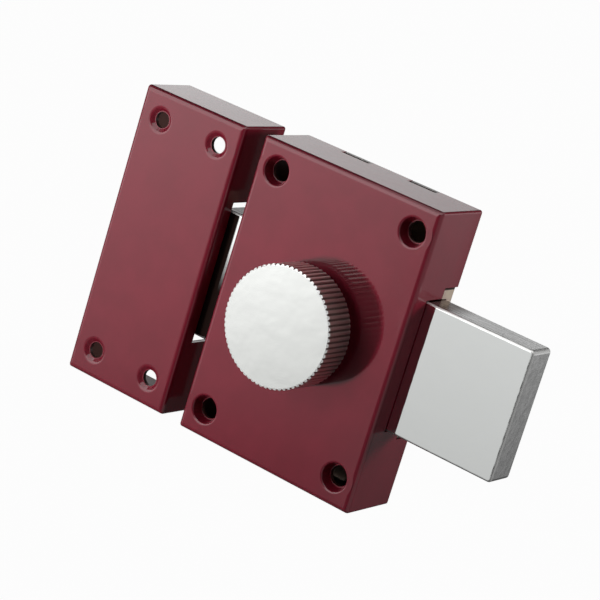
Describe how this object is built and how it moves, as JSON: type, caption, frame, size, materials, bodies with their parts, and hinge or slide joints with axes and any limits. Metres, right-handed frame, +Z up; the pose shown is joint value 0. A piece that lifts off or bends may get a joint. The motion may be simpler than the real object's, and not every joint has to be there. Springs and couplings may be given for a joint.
{
  "type": "knob door bolt",
  "caption": "Surface-mounted door bolt: a knurled knob drives a flat through-bolt across a folded steel case into a separate box keeper.",
  "frame": {"origin": "centre of the case's screw pattern on the mounting plane, straight behind the knob's axis", "axes": "+X along the bolt's tail, away from the keeper; +Y into the door; +Z up"},
  "size_m": [0.1578, 0.041, 0.1003],
  "materials": {
    "burgundy_paint": "gloss, fine orange peel",
    "bolt_chrome": "bright chrome plate",
    "knob_aluminium": "polished",
    "yellow_zinc": "yellow passivated zinc",
    "bright_zinc": "bright zinc",
    "bush_brass": "turned brass",
    "turned_steel": "turned and oiled",
    "dark_steel": "black oxide",
    "spring_steel": "blued strip"
  },
  "bodies": {
    "lock_body": {"case": "burgundy_paint", "back_plate": "yellow_zinc", "keeper": "burgundy_paint", "front_bush": "bush_brass", "lock_washer": "bright_zinc", "bush_nut": "bright_zinc", "rear_bush": "bush_brass", "upper_rail": "yellow_zinc", "lower_rail": "yellow_zinc", "rail_rivets": "bright_zinc", "friction_spring": "spring_steel", "spring_rivet": "bright_zinc", "stop_stud": "turned_steel"},
    "bolt_bar": {"bolt": "bolt_chrome"},
    "knob_set": {"knob": "knob_aluminium", "grub_screw": "dark_steel", "wave_washer": "spring_steel", "spindle": "turned_steel", "thrust_washer": "spring_steel", "pinion": "turned_steel", "retaining_clip": "dark_steel"}
  },
  "joints": [
    {"name": "bolt_slide", "type": "slide", "parent": "lock_body", "child": "bolt_bar", "axis": [-1, 0, 0], "range_m": [-0.01225, 0.01375]},
    {"name": "knob_turn", "type": "hinge", "parent": "lock_body", "child": "knob_set", "pos_m": [0, -0.03, 0], "axis": [0, 1, 0], "range_deg": [-117, 131.4]}
  ],
  "couplings": [
    {"joint": "knob_turn", "follows": "bolt_slide", "rad_per_m": 166.67}
  ]
}
